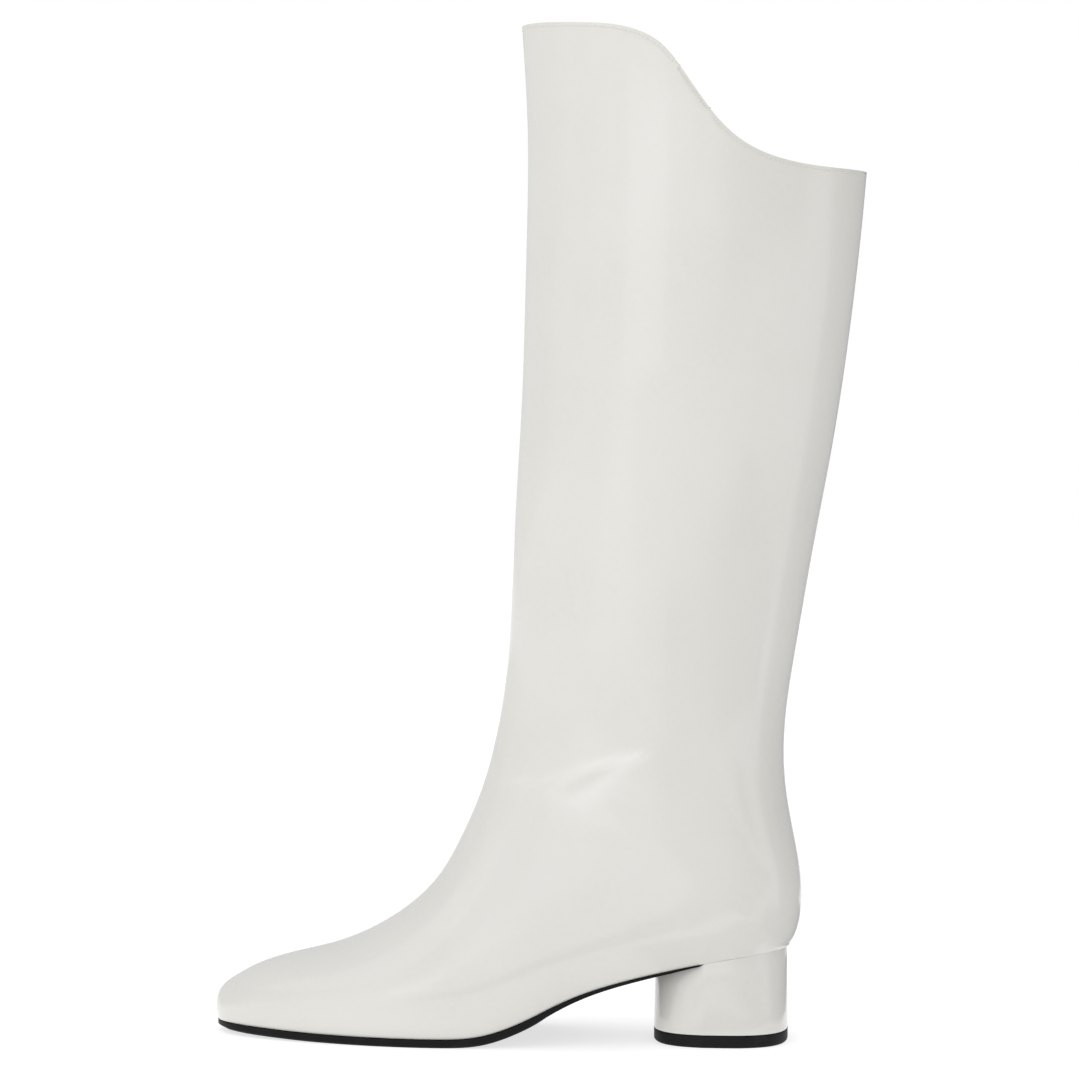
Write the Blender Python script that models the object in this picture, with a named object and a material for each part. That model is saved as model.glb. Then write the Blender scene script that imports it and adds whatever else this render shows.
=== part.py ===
"""Tall pull-on boot for the left foot: hollow leather upper, insole, thin outsole, column heel and top lift.

Built in metres with +Z up. The toe points to -X and the outer, lateral side of the foot faces -Y. The boot
stands on the floor at Z = 0 with the origin under the middle of its bounding box. Sizes in this file are
millimetres, and the tables give percentages of the driving sizes.
"""

import math
from typing import NamedTuple

import bmesh
import bpy
import numpy as np
from mathutils import Vector

# Driving sizes of the boot, in millimetres
MM = 0.001
FOOT_LENGTH = 252.5  # toe tip to the back of the heel counter
BALL_WIDTH = 84.0  # across the upper at the ball of the foot
INSTEP_HEIGHT = 114.0  # floor to the front of the ankle, where the foot turns up into the leg
HEEL_HEIGHT = 41.0  # floor to the back of the heel seat
BOOT_HEIGHT = 434.6  # floor to the front of the collar
CALF_WIDTH = 94.0  # across the leg just under the collar
CALF_BACK = 281.1  # toe tip to the back of the collar, the boot's whole length

WALL = 2.0  # leather and lining together
LASTING_MARGIN = 11.0  # upper leather turned in under the insole
GAP = 0.3  # clearance between pieces that touch
INSOLE_THICKNESS = 2.4
INSOLE_CLEARANCE = 1.2  # from the insole's edge to the inside of the wall at the turned-in corner
SOLE_THICKNESS = 3.4  # outsole at the ball
SOLE_PROUD = 0.7  # how far the outsole stands out past the upper's edge
SOLE_EDGE_ROUND = 0.8
HEEL_LENGTH = 57.0
HEEL_WIDTH = 54.0
HEEL_ROUND = 27.0  # length of the round end of the heel seat
HEEL_FLARE = 0.4  # how much further out the heel stands at its foot than at its top
HEEL_SQUARENESS = 2.1  # superellipse power of the heel's outline, 2 being an ellipse
TOP_LIFT_THICKNESS = 5.2
TOP_LIFT_ROUND = 0.7

# Fineness of the facets
SLICE_SPACING = 10.0  # along the sole, at most
HEEL_SLICES = 7  # in the round end of the heel seat
LEG_RINGS = 21  # rings from the back of the heel seat up to the collar
RING_CROWDING = 1.25  # above 1 the rings stand closer together at the heel than at the collar
SIDE_COLUMNS = 20  # facets from the ridge of a slice to its base, on each side
HEEL_STEPS = 14  # stations along the heel


class FootSection(NamedTuple):
    """A slice of the foot, from its ridge along the top of the foot down to the edge of the sole."""

    ridge_along: float  # behind the toe tip, percent of FOOT_LENGTH
    ridge_up: float  # above the floor, percent of INSTEP_HEIGHT
    sole_along: float  # where the slice meets the sole, percent of FOOT_LENGTH
    lateral: float  # widest reach to the outer side, percent of BALL_WIDTH
    medial: float  # widest reach to the inner side, percent of BALL_WIDTH
    widest: float  # how far down the slice it is widest, percent
    tuck: float  # reach at the edge of the sole, percent of the widest reach
    swing: float  # how far the slice's middle lies to the inner side, percent of BALL_WIDTH


FOOT_SECTIONS = (
    FootSection(0.0, 14.6, 0.0, 0.0, 0.0, 58.0, 92.0, 5.2),
    FootSection(0.4, 15.7, 0.4, 8.0, 8.0, 58.0, 92.0, 5.2),
    FootSection(1.4, 18.0, 1.6, 15.6, 15.5, 59.0, 91.0, 5.1),
    FootSection(3.4, 21.3, 3.7, 22.8, 22.2, 60.0, 90.0, 4.9),
    FootSection(6.7, 25.3, 7.0, 29.8, 28.4, 61.0, 89.0, 4.5),
    FootSection(12.3, 29.5, 13.0, 37.6, 35.2, 62.3, 88.3, 3.8),
    FootSection(20.4, 34.0, 22.0, 45.3, 41.6, 64.2, 88.0, 2.9),
    FootSection(29.4, 43.2, 33.1, 51.2, 46.0, 67.3, 87.5, 1.8),
    FootSection(37.6, 58.3, 44.1, 52.0, 45.4, 71.7, 85.5, 1.0),
    FootSection(41.9, 73.9, 55.3, 48.8, 41.8, 76.0, 82.5, 0.4),
    FootSection(44.8, 88.0, 66.3, 44.5, 39.0, 78.8, 80.5, 0.1),
    FootSection(46.7, 100.0, 77.0, 41.1, 37.8, 80.0, 80.5, 0.0),
    FootSection(48.0, 111.5, 89.0, 39.0, 37.8, 79.3, 81.5, 0.0),
    FootSection(49.1, 123.7, 98.0, 38.2, 38.1, 77.4, 82.0, 0.0),
)


class LegSection(NamedTuple):
    """A slice of the leg, from its front to its back."""

    front_along: float  # behind the toe tip, percent of FOOT_LENGTH
    front_up: float  # above the floor, percent of BOOT_HEIGHT
    back_along: float  # behind the toe tip, percent of FOOT_LENGTH
    back_up: float  # above the floor, percent of BOOT_HEIGHT
    reach: float  # widest reach to either side, percent of CALF_WIDTH
    widest: float  # how far back the slice is widest, percent


LEG_SECTIONS = (
    LegSection(49.9, 35.7, 99.9, 13.8, 34.5, 75.0),
    LegSection(50.3, 37.8, 99.9, 17.8, 35.0, 73.2),
    LegSection(50.6, 40.1, 98.4, 22.3, 35.7, 70.8),
    LegSection(50.8, 42.9, 97.4, 26.8, 36.6, 67.7),
    LegSection(51.1, 46.1, 97.6, 31.8, 37.8, 64.3),
    LegSection(51.4, 50.2, 99.2, 38.0, 39.5, 60.5),
    LegSection(51.9, 55.8, 101.8, 47.0, 42.0, 56.8),
    LegSection(52.6, 62.7, 105.0, 57.1, 45.0, 54.0),
    LegSection(53.1, 71.4, 107.9, 68.0, 47.5, 52.4),
    LegSection(53.5, 80.6, 110.0, 78.3, 49.1, 51.3),
    LegSection(53.6, 90.3, 111.2, 86.2, 49.9, 50.6),
    LegSection(52.7, 99.1, 111.9, 94.5, 50.1, 50.2),
    LegSection(52.1, 104.8, 112.3, 102.5, 50.1, 50.0),
)


class SoleStation(NamedTuple):
    """A place along the sole."""

    along: float  # behind the toe tip, percent of FOOT_LENGTH
    seat: float  # height of the upper's underside, percent of HEEL_HEIGHT
    thickness: float  # of the outsole, percent of SOLE_THICKNESS


SOLE_PROFILE = (
    SoleStation(0.0, 12.4, 62),
    SoleStation(3.0, 12.6, 88),
    SoleStation(8.0, 11.9, 98),
    SoleStation(18.5, 9.8, 100),
    SoleStation(29.5, 9.0, 100),
    SoleStation(42.5, 9.0, 100),
    SoleStation(47.5, 12.5, 110),
    SoleStation(53.5, 25.5, 110),
    SoleStation(60.2, 46.5, 85),
    SoleStation(63.5, 55.0, 62),
    SoleStation(67.2, 62.5, 50),
    SoleStation(74.2, 74.0, 40),
    SoleStation(80.0, 82.0, 30),
    SoleStation(83.5, 86.5, 14),
    SoleStation(91.0, 94.5, 0),
    SoleStation(98.0, 100.0, 0),
)
TONGUE_END = FOOT_LENGTH * 0.835  # where the outsole's skived tongue ends between the heel and the upper
TONGUE_STEP = (TONGUE_END + 2 * GAP, TONGUE_END + 6 * GAP)  # where the heel's top steps up behind it


class CollarPoint(NamedTuple):
    """A place on the collar's line as it shows from the side."""

    along: float  # behind the toe tip, percent of FOOT_LENGTH
    up: float  # above the floor, percent of BOOT_HEIGHT


COLLAR_LINE = (
    CollarPoint(48.0, 99.8),
    CollarPoint(56.0, 99.65),
    CollarPoint(64.0, 99.3),
    CollarPoint(70.4, 98.9),
    CollarPoint(75.4, 97.95),
    CollarPoint(78.7, 96.55),
    CollarPoint(82.0, 93.5),
    CollarPoint(85.3, 90.5),
    CollarPoint(88.5, 88.5),
    CollarPoint(93.4, 86.75),
    CollarPoint(100.0, 85.7),
    CollarPoint(106.5, 85.35),
    CollarPoint(114.0, 85.3),
)


# Curves through the tables


def fair_curve(places, values, level_start=False, level_end=False):
    """A cubic spline through the values at the places, with smooth curvature, free or level at its ends."""
    places = np.asarray(places, float)
    values = np.asarray(values, float)
    steps = np.diff(places)
    slopes = np.diff(values) / steps
    count = len(places)
    system = np.eye(count)
    right = np.zeros(count)
    for row in range(1, count - 1):
        system[row, row - 1] = steps[row - 1]
        system[row, row] = 2 * (steps[row - 1] + steps[row])
        system[row, row + 1] = steps[row]
        right[row] = 6 * (slopes[row] - slopes[row - 1])
    if level_start:
        system[0, :2] = 2 * steps[0], steps[0]
        right[0] = 6 * slopes[0]
    if level_end:
        system[-1, -2:] = steps[-1], 2 * steps[-1]
        right[-1] = -6 * slopes[-1]
    bends = np.linalg.solve(system, right)

    def curve(place):
        span = int(np.clip(np.searchsorted(places, place) - 1, 0, count - 2))
        step = steps[span]
        after = place - places[span]
        before = step - after
        bent = (bends[span] * before**3 + bends[span + 1] * after**3) / (6 * step)
        start = (values[span] / step - bends[span] * step / 6) * before
        end = (values[span + 1] / step - bends[span + 1] * step / 6) * after
        return bent + start + end

    return curve


def cornered_curve(places, values, corner):
    """Two fair curves that come to rest where they meet, so that a path can turn a corner there."""
    before = fair_curve(places[: corner + 1], values[: corner + 1], level_end=True)
    after = fair_curve(places[corner:], values[corner:], level_start=True)
    return lambda place: before(place) if place <= places[corner] else after(place)


def steady_curve(places, values):
    """A monotone cubic curve, which stays level between two equal values and never overshoots."""
    places = np.asarray(places, float)
    values = np.asarray(values, float)
    steps = np.diff(places)
    slopes = np.diff(values) / steps
    tilts = np.zeros(len(places))
    tilts[0], tilts[-1] = slopes[0], slopes[-1]
    for row in range(1, len(places) - 1):
        if slopes[row - 1] * slopes[row] > 0:
            first = 2 * steps[row] + steps[row - 1]
            second = steps[row] + 2 * steps[row - 1]
            tilts[row] = (first + second) / (first / slopes[row - 1] + second / slopes[row])

    def curve(place):
        place = float(np.clip(place, places[0], places[-1]))
        span = int(np.clip(np.searchsorted(places, place) - 1, 0, len(steps) - 1))
        share = (place - places[span]) / steps[span]
        rise = values[span + 1] - values[span]
        ease = share * share * (3 - 2 * share)
        lift = tilts[span] * share * (1 - share) ** 2 - tilts[span + 1] * share**2 * (1 - share)
        return values[span] + rise * ease + steps[span] * lift

    return curve


def percent_of(size, value):
    """A percentage of one of the driving sizes."""
    return size * value / 100


def sole_curve(column, size):
    """Height along the sole, in millimetres against millimetres behind the toe tip."""
    places = [percent_of(FOOT_LENGTH, row.along) for row in SOLE_PROFILE]
    return steady_curve(places, [percent_of(size, getattr(row, column)) for row in SOLE_PROFILE])


seat_height = sole_curve("seat", HEEL_HEIGHT)
sole_thickness = sole_curve("thickness", SOLE_THICKNESS)
collar_height = fair_curve(
    [percent_of(FOOT_LENGTH, point.along) for point in COLLAR_LINE],
    [percent_of(BOOT_HEIGHT, point.up) for point in COLLAR_LINE],
)
HEEL_BACK = percent_of(FOOT_LENGTH, FOOT_SECTIONS[-1].sole_along)


def place(along, across, up):
    """A point in metres, from lengths behind the toe tip, towards the inner side and above the floor."""
    return Vector((along - CALF_BACK / 2, across, up)) * MM


# The shape of the last, shared by every piece


class Slice(NamedTuple):
    """One slice of the boot's outer surface, in millimetres."""

    ridge_along: float
    ridge_up: float
    base_along: float
    base_up: float
    lateral: float
    medial: float
    widest: float
    tuck: float
    swing: float


def foot_slice(row):
    """A row of FOOT_SECTIONS in millimetres."""
    base_along = percent_of(FOOT_LENGTH, row.sole_along)
    return Slice(
        ridge_along=percent_of(FOOT_LENGTH, row.ridge_along),
        ridge_up=percent_of(INSTEP_HEIGHT, row.ridge_up),
        base_along=base_along,
        base_up=seat_height(base_along),
        lateral=percent_of(BALL_WIDTH, row.lateral),
        medial=percent_of(BALL_WIDTH, row.medial),
        widest=row.widest / 100,
        tuck=row.tuck / 100,
        swing=percent_of(BALL_WIDTH, row.swing),
    )


def leg_slice(row):
    """A row of LEG_SECTIONS in millimetres."""
    reach = percent_of(CALF_WIDTH, row.reach)
    return Slice(
        ridge_along=percent_of(FOOT_LENGTH, row.front_along),
        ridge_up=percent_of(BOOT_HEIGHT, row.front_up),
        base_along=percent_of(FOOT_LENGTH, row.back_along),
        base_up=percent_of(BOOT_HEIGHT, row.back_up),
        lateral=reach,
        medial=reach,
        widest=row.widest / 100,
        tuck=FOOT_SECTIONS[-1].tuck / 100,
        swing=0.0,
    )


class Last:
    """The boot's outer surface: slices that fan round the ankle from the toe tip to above the collar."""

    def __init__(self):
        slices = [foot_slice(row) for row in FOOT_SECTIONS] + [leg_slice(row) for row in LEG_SECTIONS]
        ridge = np.array([(one.ridge_along, one.ridge_up, one.lateral) for one in slices])
        spacing = np.linalg.norm(np.diff(ridge, axis=0), axis=1)
        self.places = np.concatenate([[0.0], np.cumsum(spacing)])
        self.heel_row = len(FOOT_SECTIONS) - 1
        self.columns = [
            cornered_curve(self.places, values, self.heel_row)
            if column.startswith("base")
            else fair_curve(self.places, values)
            for column, values in zip(Slice._fields, zip(*slices))
        ]

    def slice_at(self, way):
        """The slice at a way along the last, which runs from 0 at the toe tip to its length at the top."""
        cut = Slice(*[curve(way) for curve in self.columns])
        if way <= self.places[self.heel_row]:
            cut = cut._replace(base_up=seat_height(cut.base_along))
        return cut

    def sole_reach(self, cut, reach):
        """Half width of the slice where it meets the sole, which closes in a round end at the heel."""
        into_round = (cut.base_along - (HEEL_BACK - HEEL_ROUND)) / HEEL_ROUND
        into_round = min(max(into_round, 0.0), 1.0)
        return reach * cut.tuck * math.sqrt(1 - into_round**2)

    def point(self, way, side, down):
        """A point of the outer surface, on side -1 lateral or 1 medial, and down from ridge 0 to base 1."""
        cut = self.slice_at(way)
        reach = cut.lateral if side < 0 else cut.medial
        on_leg = way >= self.places[self.heel_row]
        base = 0.0 if on_leg else self.sole_reach(cut, reach)
        if down < cut.widest:
            turn = math.pi / 2 * down / cut.widest
            share = cut.widest * (1 - math.cos(turn))
            across = reach * math.sin(turn)
        else:
            turn = math.pi / 2 * (down - cut.widest) / (1 - cut.widest)
            share = cut.widest + (1 - cut.widest) * math.sin(turn)
            full = base / reach / cut.tuck if reach > 0 else 1.0
            across = base + (reach - base) * max(math.cos(turn), 0.0) ** (1 + full)
        along = cut.ridge_along + share * (cut.base_along - cut.ridge_along)
        up = cut.ridge_up + share * (cut.base_up - cut.ridge_up)
        return along, cut.swing + side * across, up

    def foot_ways(self):
        """Where the slices of the foot stand, from the toe tip to the back of the heel seat."""
        ways = [self.places[0]]
        alongs = [percent_of(FOOT_LENGTH, row.sole_along) for row in FOOT_SECTIONS]
        for row in range(self.heel_row):
            steps = max(2, math.ceil((alongs[row + 1] - alongs[row]) / SLICE_SPACING))
            if row == self.heel_row - 1:
                steps = HEEL_SLICES
            stretch = self.places[row + 1] - self.places[row]
            ways += [self.places[row] + stretch * (step + 1) / steps for step in range(steps)]
        return ways

    def collar_way(self, side, down):
        """How far up the last a column of the leg meets the collar's line."""
        low, high = self.places[self.heel_row], self.places[-1]
        while high - low > 0.01:
            middle = (low + high) / 2
            along, _, up = self.point(middle, side, down)
            if up < collar_height(along):
                low = middle
            else:
                high = middle
        return (low + high) / 2

    def feather_line(self, side):
        """The edge where the upper meets the sole, from the toe tip to the back of the heel seat."""
        return [self.point(way, side, 1.0) for way in self.foot_ways()]


LAST = Last()


# Mesh helpers


def new_object(name, mesh, material):
    """An object in the scene with its own material."""
    mesh.materials.append(material)
    made = bpy.data.objects.new(name, mesh)
    bpy.context.scene.collection.objects.link(made)
    return made


def solid_material(name, colour, roughness):
    """A plain Principled material."""
    material = bpy.data.materials.new(name)
    material.use_nodes = True
    shader = material.node_tree.nodes["Principled BSDF"]
    shader.inputs["Base Color"].default_value = (*colour, 1.0)
    shader.inputs["Roughness"].default_value = roughness
    shader.inputs["Metallic"].default_value = 0.0
    return material


def finish_mesh(name, form):
    """Welds the grid's shared edges, turns its faces outwards and shades it smooth up to its real edges."""
    bmesh.ops.remove_doubles(form, verts=form.verts, dist=0.001 * MM)
    bmesh.ops.dissolve_degenerate(form, edges=form.edges, dist=0.001 * MM)
    bmesh.ops.recalc_face_normals(form, faces=form.faces)
    mesh = bpy.data.meshes.new(name)
    form.to_mesh(mesh)
    form.free()
    mesh.shade_smooth()
    mesh.set_sharp_from_angle(angle=math.radians(40))
    return mesh


def add_strip(form, first, second):
    """Quads between two rows of vertices."""
    for index in range(len(first) - 1):
        corners = (first[index], first[index + 1], second[index + 1], second[index])
        form.faces.new(corners)


def inset_sides(lateral, medial, distance):
    """The two sides of a closed outline, as (along, across) pairs, moved inwards square to the outline."""
    loop = list(lateral) + list(reversed(medial[1:-1]))
    count = len(loop)
    moved = []
    for index, (along, across) in enumerate(loop):
        before, after = loop[index - 1], loop[(index + 1) % count]
        run, drift = after[0] - before[0], after[1] - before[1]
        length = math.hypot(run, drift)
        moved.append((along - distance * drift / length, across + distance * run / length))
    new_lateral = moved[: len(lateral)]
    new_medial = [moved[0]] + list(reversed(moved[len(lateral) :])) + [moved[len(lateral) - 1]]
    return new_lateral, new_medial


# The pieces


def make_upper(material):
    """The upper: foot, counter and leg in one wall, turned in under the foot and open at the collar."""
    form = bmesh.new()
    downs = [step / SIDE_COLUMNS for step in range(SIDE_COLUMNS + 1)]
    foot_ways = LAST.foot_ways()
    feather = {side: LAST.feather_line(side) for side in (-1, 1)}
    plan = {side: [(along, across) for along, across, _ in feather[side]] for side in (-1, 1)}
    margin = dict(zip((-1, 1), inset_sides(plan[-1], plan[1], LASTING_MARGIN)))
    heel_way = foot_ways[-1]
    for side in (-1, 1):
        rows = [[LAST.point(way, side, down) for down in downs] for way in foot_ways]
        ends = [LAST.collar_way(side, down) for down in downs]
        for ring in range(1, LEG_RINGS + 1):
            share = (ring / LEG_RINGS) ** RING_CROWDING
            ways = [heel_way + share * (end - heel_way) for end in ends]
            rows.append([LAST.point(way, side, down) for way, down in zip(ways, downs)])
        grid = [[form.verts.new(place(*point)) for point in row] for row in rows]
        for first, second in zip(grid, grid[1:]):
            add_strip(form, first, second)
        edge = [row[-1] for row in grid[: len(foot_ways)]]
        inner = [place(along, across, seat_height(along)) for along, across in margin[side]]
        add_strip(form, edge, [form.verts.new(point) for point in inner])
    made = new_object("upper", finish_mesh("upper", form), material)
    wall = made.modifiers.new("wall", "SOLIDIFY")
    wall.thickness = WALL * MM
    wall.offset = -1
    wall.use_even_offset = True
    wall.use_quality_normals = True
    return made


def sole_sides(inset):
    """Lateral and medial sides of the sole's outline, as (along, across), moved in from the upper's edge."""
    lateral = [(along, across) for along, across, _ in LAST.feather_line(-1)]
    medial = [(along, across) for along, across, _ in LAST.feather_line(1)]
    return inset_sides(lateral, medial, inset)


def slab(name, layers, material):
    """A closed slab from layers of outline, bottom to top, each (lateral, medial, height function)."""
    form = bmesh.new()
    sides = []
    for lateral, medial, height in layers:
        rows = [
            [form.verts.new(place(along, across, height(along))) for along, across in side]
            for side in (lateral, medial)
        ]
        sides.append(rows)
    for low, high in zip(sides, sides[1:]):
        for low_side, high_side in zip(low, high):
            add_strip(form, low_side, high_side)
        for end in (0, -1):
            form.faces.new((low[0][end], low[1][end], high[1][end], high[0][end]))
    for rows in (sides[0], sides[-1]):
        add_strip(form, rows[0], rows[1])
    return new_object(name, finish_mesh(name, form), material)


def make_insole(material):
    """The sock-covered board that the upper is lasted over."""
    lateral, medial = sole_sides(WALL + INSOLE_CLEARANCE)

    def underside(along):
        return seat_height(along) + WALL + GAP

    def top(along):
        return underside(along) + INSOLE_THICKNESS

    return slab("insole", [(lateral, medial, underside), (lateral, medial, top)], material)


def outsole_underside(along):
    """Height of the outsole's underside, which stands on the floor under the ball."""
    return max(seat_height(along) - GAP - sole_thickness(along), 0.0)


def make_outsole(material):
    """The thin sole, which runs from the toe through the waist and ends in a skived tongue on the heel."""

    def cut_at_tongue(side):
        after = next(index for index, point in enumerate(side) if point[0] >= TONGUE_END)
        before, beyond = side[after - 1], side[after]
        share = (TONGUE_END - before[0]) / (beyond[0] - before[0])
        return side[:after] + [(TONGUE_END, before[1] + share * (beyond[1] - before[1]))]

    outer = [cut_at_tongue(side) for side in sole_sides(-SOLE_PROUD)]
    inner = [cut_at_tongue(side) for side in sole_sides(SOLE_EDGE_ROUND - SOLE_PROUD)]

    def top(along):
        return seat_height(along) - GAP

    def rounded(along):
        return outsole_underside(along) + SOLE_EDGE_ROUND * sole_thickness(along) / SOLE_THICKNESS

    layers = [(*inner, outsole_underside), (*outer, rounded), (*outer, top)]
    return slab("outsole", layers, material)


def heel_sides(grow):
    """Lateral and medial sides of the heel's outline, grown by a distance all round."""
    half_length = HEEL_LENGTH / 2
    middle = HEEL_BACK - half_length
    shares = [(along - middle) / half_length for along in TONGUE_STEP]
    for step in range(HEEL_STEPS + 1):
        round_share = -math.cos(math.pi * step / HEEL_STEPS)
        shares.append(math.copysign(abs(round_share) ** (2 / HEEL_SQUARENESS), round_share))
    lateral, medial = [], []
    for share in sorted(shares):
        width = (HEEL_WIDTH / 2 + grow) * (1 - abs(share) ** HEEL_SQUARENESS) ** (1 / HEEL_SQUARENESS)
        along = middle + (half_length + grow) * share
        lateral.append((along, -width))
        medial.append((along, width))
    return lateral, medial


def heel_top(along):
    """Height of the heel's top, which follows the outsole's tongue and steps up to the upper behind it."""
    under_tongue = outsole_underside(min(along, TONGUE_END)) - GAP
    step_start, step_end = TONGUE_STEP
    share = min(max((along - step_start) / (step_end - step_start), 0.0), 1.0)
    return under_tongue + share * (seat_height(along) - GAP - under_tongue)


def make_heel(material):
    """The leather-covered column of the heel."""

    def foot(along):
        return TOP_LIFT_THICKNESS + GAP

    layers = [(*heel_sides(HEEL_FLARE), foot), (*heel_sides(0.0), heel_top)]
    return slab("heel", layers, material)


def make_top_lift(material):
    """The rubber wearing piece under the heel."""
    heights = (0.0, TOP_LIFT_ROUND, TOP_LIFT_THICKNESS)
    grows = (HEEL_FLARE - TOP_LIFT_ROUND, HEEL_FLARE, HEEL_FLARE)
    layers = [(*heel_sides(grow), lambda along, up=up: up) for grow, up in zip(grows, heights)]
    return slab("top_lift", layers, material)


def main():
    for old in list(bpy.data.objects):
        bpy.data.objects.remove(old)
    leather = solid_material("white upper leather", (0.8, 0.79, 0.76), 0.3)
    heel_leather = solid_material("white heel leather", (0.8, 0.79, 0.76), 0.3)
    lining = solid_material("pale lining leather", (0.62, 0.55, 0.44), 0.55)
    sole_black = solid_material("black sole rubber", (0.012, 0.012, 0.013), 0.4)
    rubber = solid_material("black heel rubber", (0.01, 0.01, 0.011), 0.55)
    frame = bpy.data.objects.new("boot", None)
    bpy.context.scene.collection.objects.link(frame)
    pieces = (
        make_upper(leather),
        make_insole(lining),
        make_outsole(sole_black),
        make_heel(heel_leather),
        make_top_lift(rubber),
    )
    for piece in pieces:
        piece.parent = frame


main()
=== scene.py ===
"""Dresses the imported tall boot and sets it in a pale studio.

The boot is the left one of a pair and stands as its solids do: the toe points to -X, the outer side faces -Y and
the floor is Z = 0. Lengths are metres, apart from places on the leather, which are given as a maker would mark
them: millimetres behind the toe tip and millimetres above the floor.
"""

import logging
import math
from contextlib import contextmanager
from dataclasses import dataclass
from enum import Enum
from typing import Any, Callable, Iterator, Optional, Union

import bmesh
import bpy
import numpy as np
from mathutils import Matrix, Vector


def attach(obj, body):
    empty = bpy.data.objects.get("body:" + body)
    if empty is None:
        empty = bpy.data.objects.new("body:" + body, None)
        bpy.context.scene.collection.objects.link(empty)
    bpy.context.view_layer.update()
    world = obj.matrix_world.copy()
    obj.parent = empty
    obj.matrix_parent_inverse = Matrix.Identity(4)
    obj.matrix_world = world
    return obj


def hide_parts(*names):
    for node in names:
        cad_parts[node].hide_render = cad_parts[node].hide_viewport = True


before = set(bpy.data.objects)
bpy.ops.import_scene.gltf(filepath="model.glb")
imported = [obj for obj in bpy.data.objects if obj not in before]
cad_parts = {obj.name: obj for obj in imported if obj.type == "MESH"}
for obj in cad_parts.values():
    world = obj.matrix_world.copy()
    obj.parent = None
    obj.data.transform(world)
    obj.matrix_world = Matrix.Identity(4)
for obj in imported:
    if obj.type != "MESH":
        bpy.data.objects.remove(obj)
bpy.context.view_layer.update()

log = logging.getLogger("tall_boot")

MM = 0.001
TOE_TIP = -140.55  # X of the toe tip, in millimetres
MERGE = 0.002  # how near two points of a solid lie to count as one, in millimetres
TINY = 1e-6
BODY = "root"
# The mesh mark that places the painted highlight along the arms of the folds.
FOLD_HIGHLIGHT = "fold_highlight"

Colour = tuple[float, float, float]
Place = tuple[float, float]


class Side(Enum):
    """The two sides of the foot, by the sign of Y."""

    OUTER = -1.0
    INNER = 1.0


class Skin(Enum):
    """The two faces of the upper's wall, by the material slot that each wears."""

    LEATHER = 0
    LINING = 1


# Shader sheets


class Wire:
    """A number that runs between shader nodes. Arithmetic on it adds Math nodes."""

    def __init__(self, sheet: "Sheet", socket: bpy.types.NodeSocket) -> None:
        """Wraps one output socket of a sheet."""
        self.sheet = sheet
        self.socket = socket

    def __add__(self, other: "Number") -> "Wire":
        """This plus another."""
        return self.sheet.maths("ADD", self, other)

    def __radd__(self, other: "Number") -> "Wire":
        """Another plus this."""
        return self.sheet.maths("ADD", other, self)

    def __sub__(self, other: "Number") -> "Wire":
        """This less another."""
        return self.sheet.maths("SUBTRACT", self, other)

    def __rsub__(self, other: "Number") -> "Wire":
        """Another less this."""
        return self.sheet.maths("SUBTRACT", other, self)

    def __mul__(self, other: "Number") -> "Wire":
        """This times another."""
        return self.sheet.maths("MULTIPLY", self, other)

    def __rmul__(self, other: "Number") -> "Wire":
        """Another times this."""
        return self.sheet.maths("MULTIPLY", other, self)

    def size(self) -> "Wire":
        """This without its sign."""
        return self.sheet.maths("ABSOLUTE", self, 0.0)

    def rise(self, low: float, high: float) -> "Wire":
        """A soft step from 0 to 1.

        Args:
            low: value at which the step starts.
            high: value at which it ends.

        Returns:
            The stepped number.
        """
        sockets = {"Value": self, "From Min": low, "From Max": high}
        return self.sheet.node("ShaderNodeMapRange", {"interpolation_type": "SMOOTHSTEP"}, sockets)


Number = Union[float, Wire]


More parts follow.
